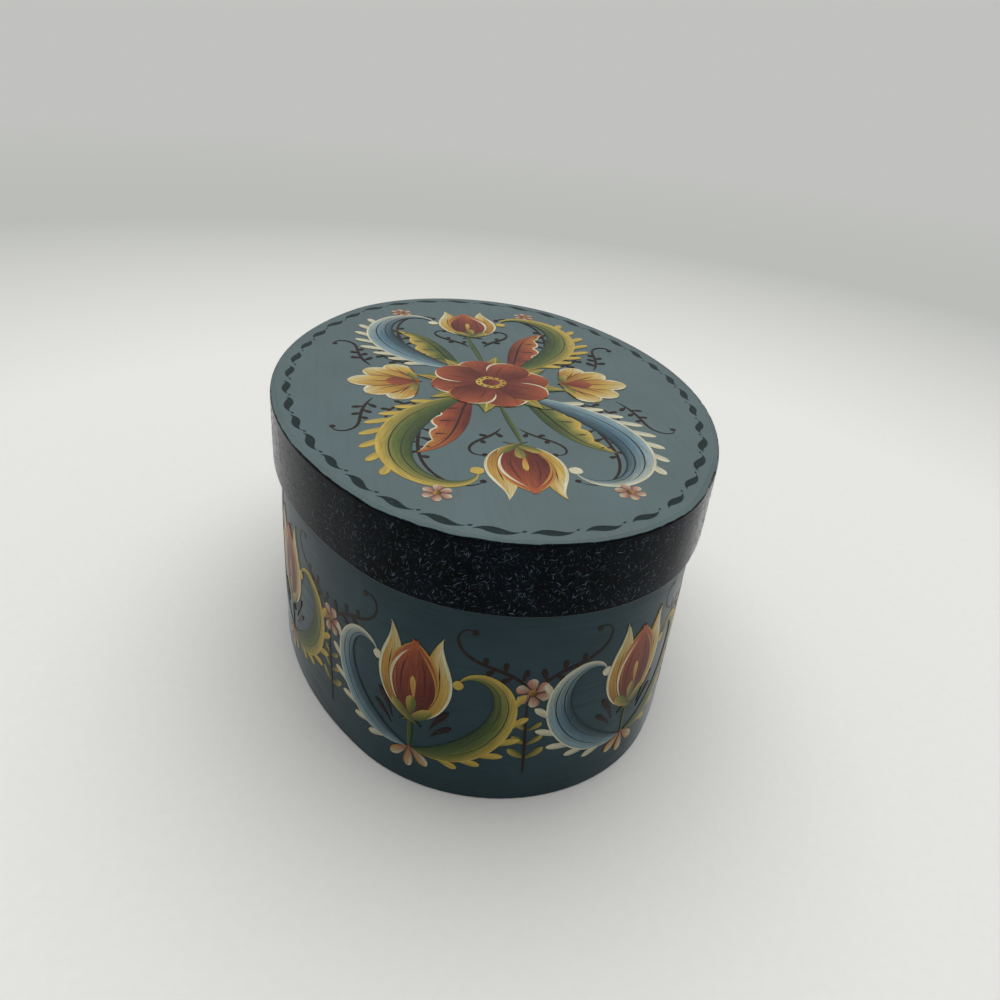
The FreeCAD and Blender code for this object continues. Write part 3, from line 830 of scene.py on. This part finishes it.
def sprig(film, middle, foot, turn):
    """What fills the gap between two sprays: a leafy stem, a daisy and two curled tendrils above it."""
    for side in (1, -1):
        film.at(middle, foot + 33, 90 + side * 36, 1.0, side)
        tendril(film, 36, (60, 120, -40, -300, -900), 5)
        for k in range(3):
            film.at(middle, foot + 5 + 6 * k, 90, 1.0 - 0.15 * k, side)
            comma(film, (6.5, 5.2), 222, 8.5, 30, 1.25, SMALL_LEAF)
    film.at(middle, foot, 90)
    film.stroke(swing((0, 0), 0, 30, (14, -14)), 0.5, 0.5, (0.4, 0.6, 0.6), [[UMBER]])
    film.at(middle, foot + 33, turn, 0.95)
    daisy(film)


hand = random.Random(23)
pitch = wall_round / SPRAYS
for k in range(SPRAYS):
    film = Film(WALL_FILM_STEP)
    middle = pitch * (k + 0.5)
    sprig(film, middle + pitch / 2, 10 + hand.uniform(-0.6, 0.6), hand.uniform(0, 60))
    spray(film, middle, 14 + hand.uniform(-0.6, 0.6), hand.uniform(-2.5, 2.5), hand.uniform(0.97, 1.04))
    film.lay(f"wall_spray_{k + 1}", on_wall, "box", brushed_oil)


# The room: a pale seamless floor, soft light from above and the camera of the reference view
# The floor is a paper sweep 80 m across, so that its edge never shows. Near the box it is a lit
# surface that keeps the shadow, and with distance it turns into the even tone of the backdrop.
BACKDROP = "#c1c2bf"

# Matt paper, nearly white, with a faint mottle of fibres
floor_paper, tree, shader, place = new_material("paper_sweep")
fibre = mottle(tree, place, (3.0, 3.0, 3.0), 3.0)
paper = coats(tree, colour("#edece8"), (colour("#b9b8b4"), fibre, 0.3, 0.8, 0.06))
feed(shader, {"Base Color": paper, "Roughness": 0.9})
reach = add(tree, "ShaderNodeVectorMath", {0: place}, operation="LENGTH").outputs["Value"]
far_tone = coats(tree, colour("#b9bbb7"), (colour(BACKDROP), reach, 0.55, 1.6, 1.0))
far_paper = add(tree, "ShaderNodeEmission", {"Color": far_tone})
far_share = add(tree, "ShaderNodeMapRange", {0: reach, 1: 0.3, 2: 0.75})
sweep_surface = add(tree, "ShaderNodeMixShader", {0: far_share, 1: shader, 2: far_paper})
feed(tree.nodes["Material Output"], {"Surface": sweep_surface})
sweep = bmesh.new()
bmesh.ops.create_circle(sweep, cap_ends=True, segments=96, radius=40.0)
floor = into_scene("floor", sweep, floor_paper)

# The room is bright overhead and behind the box, and dim on the viewer's side
world = bpy.data.worlds.new("studio")
world.use_nodes = True
bpy.context.scene.world = world
tree = world.node_tree
tree.nodes.clear()
heading = add(tree, "ShaderNodeTexCoord").outputs["Generated"]
aim = add(tree, "ShaderNodeVectorMath", {0: heading, 1: (-0.55, 0.2, 0.8)}, operation="DOT_PRODUCT")
glow = coats(tree, colour("#2c2e30"), (colour("#e9ebec"), aim.outputs["Value"], -0.35, 0.6, 1.0))
light = add(tree, "ShaderNodeBackground", {"Color": glow, "Strength": 0.45})
seen = add(tree, "ShaderNodeBackground", {"Color": colour(BACKDROP), "Strength": 1.0})
camera_ray = add(tree, "ShaderNodeLightPath").outputs["Is Camera Ray"]
shown = add(tree, "ShaderNodeMixShader", {0: camera_ray, 1: light, 2: seen})
add(tree, "ShaderNodeOutputWorld", {"Surface": shown})

# A very wide soft lamp straight above stands for the lit ceiling of a light tent
ceiling = bpy.data.lights.new("overhead_light", "SUN")
ceiling.angle = math.radians(75)
ceiling.energy = 2.1
lamp = bpy.data.objects.new("overhead_light", ceiling)
lamp.rotation_euler = Vector((0.28, -0.1, -1.0)).to_track_quat("-Z", "Y").to_euler()
bpy.context.scene.collection.objects.link(lamp)

# The reference view: a hand-held camera near the +X end, looking down and leaning a little
lens = bpy.data.cameras.new("reference_view")
lens.sensor_width = 36.0
lens.lens = 28.8
camera = bpy.data.objects.new("reference_view", lens)
camera.location = (0.26335, -0.05029, 0.19846)
camera.rotation_euler = [math.radians(a) for a in (60.298, -5.053, 80.483)]
bpy.context.scene.collection.objects.link(camera)
bpy.context.scene.camera = camera
bpy.context.scene.view_settings.view_transform = "Standard"
